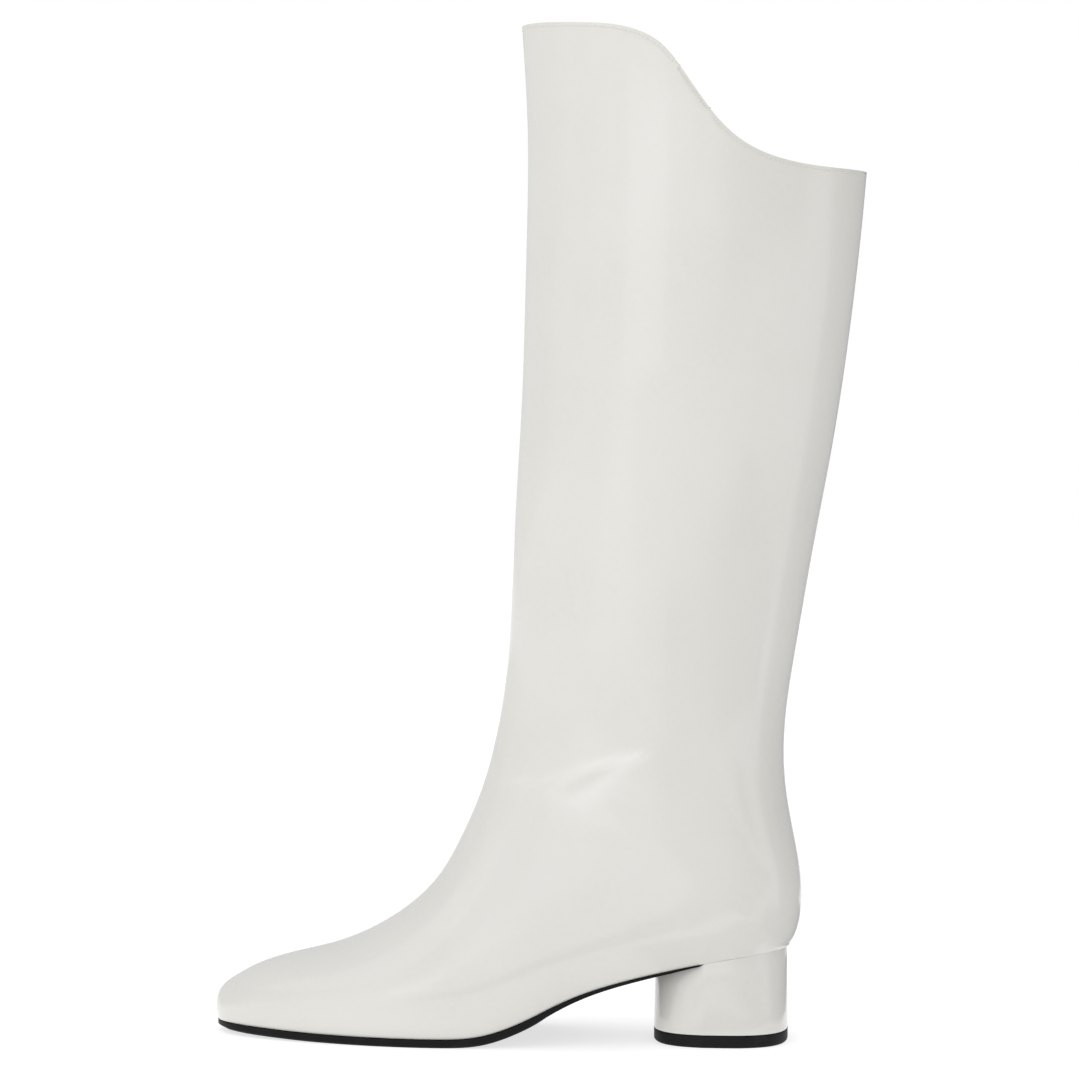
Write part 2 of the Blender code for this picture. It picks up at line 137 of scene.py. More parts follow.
class Sheet:
    """One node tree, written as expressions."""

    def __init__(self, tree: bpy.types.NodeTree) -> None:
        """Starts an empty sheet on a tree."""
        self.tree = tree
        tree.nodes.clear()

    def node(
        self,
        kind: str,
        settings: Optional[dict[str, Any]] = None,
        sockets: Optional[dict[Union[str, int], Any]] = None,
        output: Union[str, int] = 0,
    ) -> Wire:
        """Adds one node.

        Args:
            kind: the node's type.
            settings: its properties, which are set first.
            sockets: values or wires for its inputs.
            output: which output the wire carries on.

        Returns:
            A wire from that output.
        """
        made = self.tree.nodes.new(kind)
        for name, value in (settings or {}).items():
            setattr(made, name, value)
        for key, value in (sockets or {}).items():
            if isinstance(value, Wire):
                self.tree.links.new(value.socket, made.inputs[key])
            else:
                made.inputs[key].default_value = value
        return Wire(self, made.outputs[output] if made.outputs else None)

    def maths(self, operation: str, first: Number, second: Number) -> Wire:
        """Adds one Math node.

        Args:
            operation: Blender's name for it.
            first: the number it starts from.
            second: the number it takes in.

        Returns:
            The result.
        """
        return self.node("ShaderNodeMath", {"operation": operation}, {0: first, 1: second})

    def places(self) -> Wire:
        """Where a point lies on the boot, in metres."""
        return self.node("ShaderNodeTexCoord", output="Object")

    def split(self, vector: Wire) -> tuple[Wire, Wire, Wire]:
        """The three parts of a vector."""
        parts = self.node("ShaderNodeSeparateXYZ", sockets={"Vector": vector})
        outputs = parts.socket.node.outputs
        return Wire(self, outputs[0]), Wire(self, outputs[1]), Wire(self, outputs[2])

    def cloud(self, vector: Wire, grain: float, detail: float = 2.0) -> Wire:
        """Soft noise.

        Args:
            vector: where to read it.
            grain: the size of its lumps, in metres.
            detail: how many finer layers it has.

        Returns:
            A number about a half.
        """
        return self.node("ShaderNodeTexNoise", sockets={"Vector": vector, "Scale": 1 / grain, "Detail": detail})

    def cells(self, vector: Wire, grain: float) -> Wire:
        """Rounded cells, as pores make in leather.

        Args:
            vector: where to read them.
            grain: the size of a cell, in metres.

        Returns:
            The distance to the nearest cell's middle, 0 to about 1.
        """
        sockets = {"Vector": vector, "Scale": 1 / grain, "Smoothness": 0.6}
        return self.node("ShaderNodeTexVoronoi", {"feature": "SMOOTH_F1"}, sockets)

    def attribute(self, name: str) -> Wire:
        """A number written on the mesh, or 0 where there is none."""
        return self.node("ShaderNodeAttribute", {"attribute_name": name}, output="Fac")

    def blend(self, share: Number, first: Union[Colour, Wire], second: Colour) -> Wire:
        """A colour between two.

        Args:
            share: how much of the second colour there is.
            first: the colour at 0.
            second: the colour at 1.

        Returns:
            The colour.
        """
        start = first if isinstance(first, Wire) else (*first, 1.0)
        sockets = {0: share, 6: start, 7: (*second, 1.0)}
        return self.node("ShaderNodeMix", {"data_type": "RGBA"}, sockets, output=2)

    def bump(self, height: Wire, depth: float) -> Wire:
        """A surface normal from a height.

        Args:
            height: the height, 0 to 1.
            depth: what 1 stands for, in metres.

        Returns:
            The normal.
        """
        return self.node("ShaderNodeBump", sockets={"Height": height, "Distance": depth, "Strength": 1.0})


def new_material(name: str) -> tuple[bpy.types.Material, Sheet]:
    """A material and the empty sheet of its nodes."""
    material = bpy.data.materials.new(name)
    material.use_nodes = True
    return material, Sheet(material.node_tree)


def principled(sheet: Sheet, sockets: dict[str, Any]) -> None:
    """Ends a sheet in one Principled surface with these socket values or wires."""
    surface = sheet.node("ShaderNodeBsdfPrincipled", sockets=sockets)
    sheet.node("ShaderNodeOutputMaterial", sockets={"Surface": surface})


# Finishes


@dataclass(frozen=True)
class PolishedLeather:
    """Smooth white leather with a polished face and fine pores, and a painted highlight: a lighter colour along
    the arms of the folds.

    A seam runs down the middle of the back where it has a width, and its groove is darkened with painted shade.
    Its depth counts in pores.
    Drift, speckle and wrinkle are the sizes of the unevenness in the dye and the grain.
    """

    name: str
    colour: Colour = (0.69, 0.683, 0.648)
    shade: Colour = (0.66, 0.65, 0.612)
    highlight_colour: Colour = (0.83, 0.824, 0.792)
    drift: float = 0.055
    speckle: float = 0.0022
    wrinkle: float = 0.0004
    pore: float = 0.00075
    pore_depth: float = 0.000018
    roughness: float = 0.34
    coat: float = 0.9
    coat_roughness: float = 0.1
    seam_width: float = 0.0
    seam_core: float = 0.2
    seam_depth: float = 14.0
    seam_from: float = 0.07
    seam_lead: float = 0.005
    # Painted shade in the seam's groove, and how much of it is laid on.
    seam_shade_colour: Colour = (0.42, 0.41, 0.385)
    seam_shade_share: float = 0.4

    def material(self) -> bpy.types.Material:
        """Makes the finish."""
        material, sheet = new_material(self.name)
        place = sheet.places()
        drift = sheet.cloud(place, self.drift, 3.0)
        speckle = sheet.cloud(place, self.speckle)
        relief = sheet.cells(place, self.pore) + 0.5 * sheet.cloud(place, self.wrinkle)
        skin = sheet.blend((0.7 * drift + 0.3 * speckle).rise(0.35, 0.8), self.colour, self.shade)
        # Painted highlight: the leather is made lighter along the arms of the folds, where the mesh is marked, in
        # place of the glint of light there.
        skin = sheet.blend(sheet.attribute(FOLD_HIGHLIGHT), skin, self.highlight_colour)
        if self.seam_width:
            seam = self.seam(sheet, place)
            relief = relief - self.seam_depth * seam
            # Painted shade: the colour is darkened in the seam's groove.
            skin = sheet.blend(self.seam_shade_share * seam, skin, self.seam_shade_colour)
        principled(
            sheet,
            {
                "Base Color": skin,
                "Roughness": self.roughness + 0.08 * (drift - 0.5) + 0.05 * (speckle - 0.5),
                "Coat Weight": self.coat,
                "Coat Roughness": self.coat_roughness,
                "Normal": sheet.bump(relief, self.pore_depth),
            },
        )
        return material

    def seam(self, sheet: Sheet, place: Wire) -> Wire:
        """Where the back seam runs.

        Args:
            sheet: the finish's sheet.
            place: where a point lies on the boot.

        Returns:
            1 in the seam and 0 beside it.
        """
        along, across, _ = sheet.split(place)
        behind = along.rise(self.seam_from, self.seam_from + self.seam_lead)
        beside = across.size().rise(self.seam_core * self.seam_width, self.seam_width)
        return (1.0 - beside) * behind


@dataclass(frozen=True)
class LiningLeather:
    """Undyed, matt lining leather."""

    name: str
    colour: Colour = (0.62, 0.54, 0.42)
    shade: Colour = (0.54, 0.46, 0.35)
    roughness: float = 0.62
    drift: float = 0.03
    wrinkle: float = 0.0006
    pore: float = 0.0011
    pore_depth: float = 0.00005
    sheen: float = 0.08

    def material(self) -> bpy.types.Material:
        """Makes the finish."""
        material, sheet = new_material(self.name)
        place = sheet.places()
        drift = sheet.cloud(place, self.drift, 4.0)
        pores = sheet.cells(place, self.pore) + 0.6 * sheet.cloud(place, self.wrinkle)
        principled(
            sheet,
            {
                "Base Color": sheet.blend(drift.rise(0.3, 0.75), self.colour, self.shade),
                "Roughness": self.roughness + 0.12 * (drift - 0.5),
                "Sheen Weight": self.sheen,
                "Normal": sheet.bump(pores, self.pore_depth),
            },
        )
        return material


@dataclass(frozen=True)
class SoleRubber:
    """Black sole rubber, satin at the trimmed edge."""

    name: str
    colour: Colour = (0.006, 0.006, 0.0065)
    worn: Colour = (0.012, 0.012, 0.013)
    roughness: float = 0.42
    specular: float = 0.12
    drift: float = 0.012
    tooth: float = 0.0006
    tooth_depth: float = 0.00003

    def material(self) -> bpy.types.Material:
        """Makes the finish."""
        material, sheet = new_material(self.name)
        place = sheet.places()
        drift = sheet.cloud(place, self.drift, 4.0)
        tooth = sheet.cloud(place, self.tooth, 3.0)
        principled(
            sheet,
            {
                "Base Color": sheet.blend(drift.rise(0.45, 0.8), self.colour, self.worn),
                "Roughness": self.roughness + 0.16 * (drift - 0.5),
                "Specular IOR Level": self.specular,
                "Normal": sheet.bump(tooth, self.tooth_depth),
            },
        )
        return material


@dataclass(frozen=True)
class Thread:
    """White waxed thread, twisted."""

    name: str
    colour: Colour = (0.74, 0.73, 0.69)
    shade: Colour = (0.62, 0.61, 0.57)
    roughness: float = 0.5
    twist: float = 0.0002
    twist_depth: float = 0.00003

    def material(self) -> bpy.types.Material:
        """Makes the finish."""
        material, sheet = new_material(self.name)
        twist = sheet.cloud(sheet.places(), self.twist)
        principled(
            sheet,
            {
                "Base Color": sheet.blend(twist.rise(0.35, 0.7), self.colour, self.shade),
                "Roughness": self.roughness,
                "Normal": sheet.bump(twist, self.twist_depth),
            },
        )
        return material


@dataclass(frozen=True)
class PaleFloor:
    """The studio's matt pale floor, lit from below as a light table is, so that shadows on it stay faint."""

    name: str = "pale_floor"
    colour: Colour = (0.46, 0.46, 0.46)
    shade: Colour = (0.44, 0.44, 0.44)
    glow: float = 0.7
    roughness: float = 0.9
    mottle: float = 0.4

    def material(self) -> bpy.types.Material:
        """Makes the finish."""
        material, sheet = new_material(self.name)
        mottle = sheet.cloud(sheet.places(), self.mottle)
        principled(
            sheet,
            {
                "Base Color": sheet.blend(mottle, self.colour, self.shade),
                "Roughness": self.roughness,
                "Emission Color": (1.0, 1.0, 1.0, 1.0),
                "Emission Strength": self.glow,
            },
        )
        return material


@dataclass(frozen=True)
class DarkCard:
    """Matt dark card."""

    name: str = "dark_card"
    colour: Colour = (0.42, 0.42, 0.42)
    roughness: float = 0.9

    def material(self) -> bpy.types.Material:
        """Makes the finish."""
        material, sheet = new_material(self.name)
        principled(sheet, {"Base Color": (*self.colour, 1.0), "Roughness": self.roughness})
        return material


Finish = Union[PolishedLeather, LiningLeather, SoleRubber]


# Bench work


class Bench:
    """Modelling steps done with Blender's own operators, as by hand."""

    @staticmethod
    def only(piece: bpy.types.Object) -> None:
        """Selects one piece and nothing else."""
        bpy.ops.object.select_all(action="DESELECT")
        piece.select_set(True)
        bpy.context.view_layer.objects.active = piece

    @staticmethod
    @contextmanager
    def editing(piece: bpy.types.Object, select: str = "FACE") -> Iterator[bmesh.types.BMesh]:
        """Opens a piece in edit mode with nothing selected.

        Args:
            piece: the object to edit.
            select: the select mode, VERT, EDGE or FACE.

        Yields:
            Its edit mesh.
        """
        Bench.only(piece)
        bpy.ops.object.mode_set(mode="EDIT")
        bpy.ops.mesh.select_mode(type=select)
        bpy.ops.mesh.select_all(action="DESELECT")
        yield bmesh.from_edit_mesh(piece.data)
        bpy.ops.object.mode_set(mode="OBJECT")

    @staticmethod
    def modify(piece: bpy.types.Object, kind: str, **settings: Any) -> None:
        """Adds a modifier and applies it.

        Args:
            piece: the object to change.
            kind: the modifier's type.
            **settings: its properties.
        """
        Bench.only(piece)
        bpy.ops.object.modifier_add(type=kind)
        modifier = piece.modifiers[-1]
        for name, value in settings.items():
            setattr(modifier, name, value)
        bpy.ops.object.modifier_apply(modifier=modifier.name)

    @staticmethod
    def copy_of(node: str, name: str) -> bpy.types.Object:
        """A merged copy of a solid, with its facets joined into the quads that they came from.

        Args:
            node: the solid's name.
            name: the copy's name.

        Returns:
            The new piece.
        """
        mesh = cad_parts[node].data.copy()
        mesh.name = name
        mesh.materials.clear()
        piece = bpy.data.objects.new(name, mesh)
        bpy.context.scene.collection.objects.link(piece)
        with Bench.editing(piece, "VERT"):
            bpy.ops.mesh.select_all(action="SELECT")
            bpy.ops.mesh.remove_doubles(threshold=MERGE * MM)
            bpy.ops.mesh.tris_convert_to_quads(
                face_threshold=math.pi, shape_threshold=math.pi, topology_influence=1.5
            )
            bpy.ops.mesh.customdata_custom_splitnormals_clear()
        return piece

    @staticmethod
    def hold_edges(piece: bpy.types.Object, angle: float) -> None:
        """Keeps the edges that turn by more than an angle, in degrees, when the piece is subdivided."""
        with Bench.editing(piece, "EDGE"):
            bpy.ops.mesh.edges_select_sharp(sharpness=math.radians(angle))
            bpy.ops.transform.edge_crease(value=1.0)

    @staticmethod
    def subdivide(piece: bpy.types.Object, levels: int) -> None:
        """Rounds a piece between its held edges."""
        Bench.modify(piece, "SUBSURF", levels=levels, render_levels=levels)

    @staticmethod
    def round_edges(piece: bpy.types.Object, radius: float, angle: float, segments: int = 2) -> None:
        """Bevels the edges that turn by more than an angle.

        Args:
            piece: the object to change.
            radius: width of the bevel, in metres.
            angle: least turn of an edge, in degrees.
            segments: steps in the bevel.
        """
        limit = math.radians(angle)
        Bench.modify(
            piece,
            "BEVEL",
            width=radius,
            segments=segments,
            limit_method="ANGLE",
            angle_limit=limit,
            use_clamp_overlap=True,
            harden_normals=False,
        )

    @staticmethod
    def points(piece: bpy.types.Object) -> np.ndarray:
        """Where a piece's points lie, in metres, a row for each."""
        points = np.empty(len(piece.data.vertices) * 3)
        piece.data.vertices.foreach_get("co", points)
        return points.reshape(-1, 3)

    @staticmethod
    def normals(piece: bpy.types.Object) -> np.ndarray:
        """The way that each point of a piece faces."""
        normals = np.empty(len(piece.data.vertices) * 3)
        piece.data.vertices.foreach_get("normal", normals)
        return normals.reshape(-1, 3)

    @staticmethod
    def move(piece: bpy.types.Object, points: np.ndarray) -> None:
        """Moves a piece's points to new places."""
        piece.data.vertices.foreach_set("co", points.ravel())
        piece.data.update()

    @staticmethod
    def shade(piece: bpy.types.Object, angle: float) -> None:
        """Shades a piece smooth, apart from edges that turn by more than an angle, in degrees."""
        Bench.only(piece)
        bpy.ops.object.shade_smooth_by_angle(angle=math.radians(angle))

    @staticmethod
    def finish(piece: bpy.types.Object, slot: str, *replaced: str) -> None:
        """Hangs a finished piece on the boot.

        Args:
            piece: the object.
            slot: the record's material slot that it would take its finish from; not used.
            *replaced: the solids that it stands for.
        """
        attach(piece, BODY)
        if replaced:
            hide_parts(*replaced)
        log.info("%s: %d faces", piece.name, len(piece.data.polygons))


# The upper


def soft_step(values: np.ndarray, low: float, high: float) -> np.ndarray:
    """A soft step from 0 at low to 1 at high."""
    share = np.clip((values - low) / (high - low), 0.0, 1.0)
    return share * share * (3.0 - 2.0 * share)


@dataclass(frozen=True)
class Fold:
    """A soft fold in the leather, narrow at its tip and open at its tail. Sizes are millimetres.

    A fold with a depth below nothing stands out as a ridge. Its lower flank is as many times as wide as its upper
    one as its skew says, and its middle lies above the straight line from tip to tail by its bow.
    """

    side: Side
    tip: Place
    tail: Place
    tip_width: float
    tail_width: float
    depth: float
    deepest: float = 0.3
    skew: float = 1.0
    bow: float = 0.0

    def press(self, along: np.ndarray, up: np.ndarray) -> np.ndarray:
        """How far the fold presses the leather in.

        Args:
            along: places behind the toe tip.
            up: heights above the floor.

        Returns:
            The depth at each place, in millimetres.
        """
        axis = np.subtract(self.tail, self.tip)
        length = float(np.hypot(*axis))
        axis = axis / length
        run = ((along - self.tip[0]) * axis[0] + (up - self.tip[1]) * axis[1]) / length
        above = (along - self.tip[0]) * axis[1] - (up - self.tip[1]) * axis[0]
        above = above * -np.sign(axis[0])
        inside = np.clip(run, 0.0, 1.0)
        above = above - 4.0 * self.bow * inside * (1.0 - inside)
        width = self.tip_width + (self.tail_width - self.tip_width) * inside
        width = np.where(above < 0.0, self.skew * width, width)
        lead = self.tip_width / length
        opening = soft_step(run, -lead, self.deepest) * (1.0 - soft_step(run, self.deepest, 1.0 + lead))
        return self.depth * opening * np.exp(-((above / width) ** 2))


@dataclass(frozen=True)
class Drawn:
    """A round zone where the leather is drawn smooth over the last. Sizes are millimetres."""

    middle: Place
    reach: Place
    stiffness: float
    core: float = 0.6
    least_weight: float = 0.002

    def share(self, along: np.ndarray, up: np.ndarray) -> np.ndarray:
        """How far each place is drawn smooth, from 1 in the middle of the zone to 0 outside it."""
        off = np.hypot((along - self.middle[0]) / self.reach[0], (up - self.middle[1]) / self.reach[1])
        return 1.0 - soft_step(off, self.core, 1.0)

    def fair(self, places: np.ndarray, heights: np.ndarray) -> np.ndarray:
        """Draws a surface smooth without letting it shrink.

        Args:
            places: along and up of each point of the surface.
            heights: how far across the boot each point lies.

        Returns:
            The height, at each place, of the bowl that fits best around it.
        """
        smooth = heights.copy()
        for index, place in enumerate(places):
            offsets = (places - place) / self.stiffness
            weight = np.exp(-np.sum(offsets * offsets, axis=1))
            near = weight > self.least_weight
            x, z = offsets[near].T
            terms = np.stack([np.ones_like(x), x, z, x * x, x * z, z * z], axis=1)
            pull = np.sqrt(weight[near])
            bowl = np.linalg.lstsq(terms * pull[:, None], heights[near] * pull, rcond=None)[0]
            smooth[index] = bowl[0]
        return smooth


@dataclass(frozen=True)
class Fill:
    """A part of the upper that stands further forwards or back than its solid. Sizes are millimetres."""

    most: float
    height: float
    below: float
    above: float
    fade: tuple[float, float]

    def push(self, along: np.ndarray, up: np.ndarray) -> np.ndarray:
        """How far the leather stands out.

        Args:
            along: places behind the toe tip.
            up: heights above the floor.

        Returns:
            The push backwards at each place, in millimetres.
        """
        off = up - self.height
        swell = np.exp(-((off / np.where(off < 0.0, self.below, self.above)) ** 2))
        start, end = self.fade
        rise = soft_step(along, min(start, end), max(start, end))
        return self.most * swell * (rise if start < end else 1.0 - rise)


@dataclass
class Upper:
    """The upper: one leather wall from the toe to the collar, with its lining and its folds."""

    leather: PolishedLeather = PolishedLeather("white_upper_leather", seam_width=0.0009)
    lining: LiningLeather = LiningLeather("undyed_lining")
    levels: int = 2
    rim_round: float = 0.0006
    sharp: float = 38.0
    lining_seed: tuple[float, float, float] = (0.055, -0.0445, 0.3)
    lining_facing: float = 0.5
    ankle: Drawn = Drawn((184.0, 95.0), (60.0, 47.0), 15.0)
    ankle_floor: float = 45.0
    ankle_facing: float = 0.2
    toe: Drawn = Drawn((2.5, 18.5), (10.0, 8.0), 6.0)
    toe_floor: float = 8.0
    toe_back: float = 40.0
    toe_facing: float = 0.1
    toe_fill: Fill = Fill(-1.5, 11.5, 6.0, 6.0, (14.0, 0.0))
    counter_fill: Fill = Fill(3.3, 47.0, 6.0, 24.0, (205.0, 248.0))
    folds: tuple[Fold, ...] = (
        Fold(Side.OUTER, (194.0, 125.5), (124.0, 99.5), 2.6, 4.4, -0.45, deepest=0.4, skew=1.3, bow=2.2),
        Fold(Side.OUTER, (188.0, 123.0), (146.0, 95.0), 2.4, 5.8, 0.55, deepest=0.45, skew=1.4, bow=2.6),
        Fold(Side.OUTER, (140.0, 113.5), (122.0, 110.0), 1.4, 2.4, -0.2),
        Fold(Side.OUTER, (198.0, 139.0), (156.0, 134.0), 3.0, 6.0, 0.15),
        Fold(Side.INNER, (184.0, 121.0), (128.0, 98.0), 2.6, 6.0, -0.6, bow=2.0),
        Fold(Side.INNER, (182.0, 120.0), (146.0, 98.0), 2.2, 6.0, 0.6),
    )
    # Painted highlight: lines along the arms of the folds where the leather's colour is made lighter, standing in
    # for the glint of light on them; each depth here is how strongly it is painted.
    highlight_folds: tuple[Fold, ...] = (
        Fold(Side.OUTER, (193.0, 126.0), (124.0, 103.0), 2.0, 3.4, 0.5, deepest=0.16, bow=2.8),
        Fold(Side.OUTER, (190.5, 125.5), (146.0, 91.0), 2.0, 7.0, 0.46, deepest=0.3, bow=3.0),
        Fold(Side.OUTER, (140.0, 113.5), (122.0, 110.0), 1.4, 2.4, 0.2),
        Fold(Side.INNER, (186.0, 124.0), (130.0, 104.0), 2.0, 2.6, 0.4, bow=2.0),
        Fold(Side.INNER, (184.0, 119.0), (150.0, 96.0), 2.0, 5.0, 0.4),
    )
    side_blend: float = 8.0

    def build(self) -> bpy.types.Object:
        """Builds and dresses the upper.

        Returns:
            The finished piece.
        """
        shell = Bench.copy_of("upper", "upper_shell")
        self.dress(shell)
        Bench.hold_edges(shell, self.sharp)
        self.draw_ankle(shell)
        self.round_toe(shell)
        self.fill_out(shell)
        Bench.subdivide(shell, self.levels)
        self.paint_fold_highlights(shell)
        self.press_folds(shell)
        Bench.round_edges(shell, self.rim_round, self.sharp)
        Bench.shade(shell, self.sharp)
        Bench.finish(shell, "upper_leather", "upper")
        return shell

    def dress(self, shell: bpy.types.Object) -> None:
        """Gives the wall its leather, and its inside the lining."""
        shell.data.materials.append(self.leather.material())
        shell.data.materials.append(self.lining.material())
        seed = Vector(self.lining_seed)
        with Bench.editing(shell) as form:
            inward = [
                face
                for face in form.faces
                if face.normal.y > self.lining_facing and face.calc_center_median().y < 0.0
            ]
            nearest = min(inward, key=lambda face: (face.calc_center_median() - seed).length)
            nearest.select = True
            form.faces.active = nearest
            bmesh.update_edit_mesh(shell.data)
            bpy.ops.mesh.faces_select_linked_flat(sharpness=math.radians(self.sharp))
            shell.active_material_index = Skin.LINING.value
            bpy.ops.object.material_slot_assign()

    @staticmethod
    def places(points: np.ndarray) -> tuple[np.ndarray, np.ndarray]:
        """How far points lie behind the toe tip and above the floor, in millimetres."""
        return points[:, 0] / MM - TOE_TIP, points[:, 2] / MM

    def draw_ankle(self, shell: bpy.types.Object) -> None:
        """Draws both faces of the wall smooth, on both sides, where the slices of the foot turn into the leg's."""
        points = Bench.points(shell)
        along, up = self.places(points)
        facing = Bench.normals(shell)[:, 1]
        share = self.ankle.share(along, up)
        for side in Side:
            for way in (-1.0, 1.0):
                on_side = (points[:, 1] * side.value > 0.0) & (up > self.ankle_floor)
                skin = np.flatnonzero(on_side & (facing * way > self.ankle_facing))
                places = np.stack([along[skin], up[skin]], axis=1)
                fair = self.ankle.fair(places, points[skin, 1])
                points[skin, 1] += share[skin] * (fair - points[skin, 1])
        Bench.move(shell, points)

    def round_toe(self, shell: bpy.types.Object) -> None:
        """Draws both faces of the wall smooth over the corner between the toe's top and its front."""
        points = Bench.points(shell)
        along, up = self.places(points)
        out = np.array([-1.0, 0.0, 1.0]) / math.sqrt(2.0)
        heights = points @ out
        places = np.stack([points[:, 1], (points[:, 0] + points[:, 2]) / math.sqrt(2.0)], axis=1) / MM
        facing = Bench.normals(shell) @ out
        share = self.toe.share(along, up)
        at_toe = (along < self.toe_back) & (up > self.toe_floor)
        for way in (-1.0, 1.0):
            skin = np.flatnonzero(at_toe & (facing * way > self.toe_facing))
            fair = self.toe.fair(places[skin], heights[skin])
            points[skin] += (share[skin] * (fair - heights[skin]))[:, None] * out
        Bench.move(shell, points)

    def fill_out(self, shell: bpy.types.Object) -> None:
        """Fills out the toe's front and the counter's back."""
        points = Bench.points(shell)
        along, up = self.places(points)
        for fill in (self.toe_fill, self.counter_fill):
            points[:, 0] += fill.push(along, up) * MM
        Bench.move(shell, points)

    def spread(self, shell: bpy.types.Object, folds: tuple[Fold, ...]) -> np.ndarray:
        """Adds up a set of folds over the upper: the pressed folds, and also the lines of painted highlight along
        their arms.

        Args:
            shell: the upper.
            folds: the folds, each on its own side.

        Returns:
            What they come to at each point.
        """
        points = Bench.points(shell)
        along, up = self.places(points)
        total = np.zeros(len(points))
        for fold in folds:
            on_side = soft_step(points[:, 1] * fold.side.value / MM, 0.0, self.side_blend)
            total += on_side * fold.press(along, up)
        return total

    def paint_fold_highlights(self, shell: bpy.types.Object) -> None:
        """Writes on the mesh where the painted highlight along the folds' arms lies and how strong it is, for the
        finish to read.
        """
        marks = shell.data.attributes.new(FOLD_HIGHLIGHT, "FLOAT", "POINT")
        marks.data.foreach_set("value", np.clip(self.spread(shell, self.highlight_folds), 0.0, 1.0))

    def press_folds(self, shell: bpy.types.Object) -> None:
        """Presses the folds into both faces of the wall."""
        points = Bench.points(shell)
        outwards = np.ones(len(points))
        for face in shell.data.polygons:
            if face.material_index == Skin.LINING.value:
                outwards[list(face.vertices)] = -1.0
        depth = self.spread(shell, self.folds)
        points -= Bench.normals(shell) * (outwards * depth * MM)[:, None]
        Bench.move(shell, points)


@dataclass
class CollarStitching:
    """The row of stitches that runs round the collar close to its edge."""

    thread: Thread = Thread("white_thread")
    below_edge: float = 0.0016
    pitch: float = 0.002
    length: float = 0.00155
    thickness: float = 0.00048
    lowest: float = 0.36
    rim_tilt: float = 0.25
    margin: float = 0.02
    widest_gap: float = 0.012
    smooth: float = 60.0

    def build(self, shell: bpy.types.Object) -> bpy.types.Object:
        """Sews the row on the upper.

        Args:
            shell: the finished upper.

        Returns:
            The finished piece.
        """
        path = self.path(shell)
        steps = np.linalg.norm(np.diff(path, axis=0, append=path[:1]), axis=1)
        count = int(round(steps.sum() / self.pitch))
        guide = self.guide(path)
        bpy.ops.object.select_all(action="DESELECT")
        bpy.ops.mesh.primitive_uv_sphere_add(segments=8, ring_count=6, radius=0.5)
        stitches = bpy.context.active_object
        stitches.name = stitches.data.name = "collar_stitches"
        with Bench.editing(stitches, "VERT"):
            bpy.ops.mesh.select_all(action="SELECT")
            bpy.ops.transform.resize(value=(self.length, self.thickness, self.thickness))
            bpy.ops.transform.translate(value=(self.pitch / 2, 0.0, 0.0))
        stitches.data.materials.append(self.thread.material())
        Bench.modify(
            stitches,
            "ARRAY",
            count=count,
            use_relative_offset=False,
            use_constant_offset=True,
            constant_offset_displace=(steps.sum() / count, 0.0, 0.0),
        )
        Bench.modify(stitches, "CURVE", object=guide, deform_axis="POS_X")
        bpy.data.objects.remove(guide)
        Bench.shade(stitches, self.smooth)
        Bench.finish(stitches, "upper_leather")
        return stitches

    def guide(self, path: np.ndarray) -> bpy.types.Object:
        """A curve for the row to follow, closed on itself."""
        curve = bpy.data.curves.new("stitch_guide", "CURVE")
        curve.dimensions = "3D"
        line = curve.splines.new("POLY")
        line.points.add(len(path))
        closed = np.vstack([path, path[:1]])
        for point, place in zip(line.points, closed):
            point.co = (*place, 1.0)
        guide = bpy.data.objects.new("stitch_guide", curve)
        bpy.context.scene.collection.objects.link(guide)
        return guide

    def path(self, shell: bpy.types.Object) -> np.ndarray:
        """Where the row runs: a fixed step below the outer edge of the collar.

        Args:
            shell: the finished upper.

        Returns:
            Points round the collar, in order.
        """
        form = bmesh.new()
        form.from_mesh(shell.data)
        form.normal_update()
        low = self.lowest
        wall = [
            face
            for face in form.faces
            if face.material_index == Skin.LEATHER.value
            and abs(face.normal.z) < self.rim_tilt
            and face.calc_center_median().z > low - self.margin
        ]
        wall_set = set(wall)
        edge_points = []
        for face in wall:
            for edge in face.edges:
                others = [one for one in edge.link_faces if one is not face]
                if others and others[0] not in wall_set and min(v.co.z for v in edge.verts) > low:
                    middle = (edge.verts[0].co + edge.verts[1].co) / 2
                    lengthwise = (edge.verts[1].co - edge.verts[0].co).normalized()
                    inward = face.normal.cross(lengthwise)
                    if inward.dot(face.calc_center_median() - middle) < 0:
                        inward = -inward
                    edge_points.append(middle + inward * self.below_edge)
        form.free()
        return self.in_order(edge_points)

    def in_order(self, points: list[Vector]) -> np.ndarray:
        """Strings points into one loop, each next to its nearest neighbour."""
        left = [np.array(point) for point in points]
        loop = [left.pop(0)]
        while left:
            distances = [np.linalg.norm(point - loop[-1]) for point in left]
            nearest = int(np.argmin(distances))
            if distances[nearest] > self.widest_gap:
                break
            loop.append(left.pop(nearest))
        return np.array(loop)


# Sole and heel


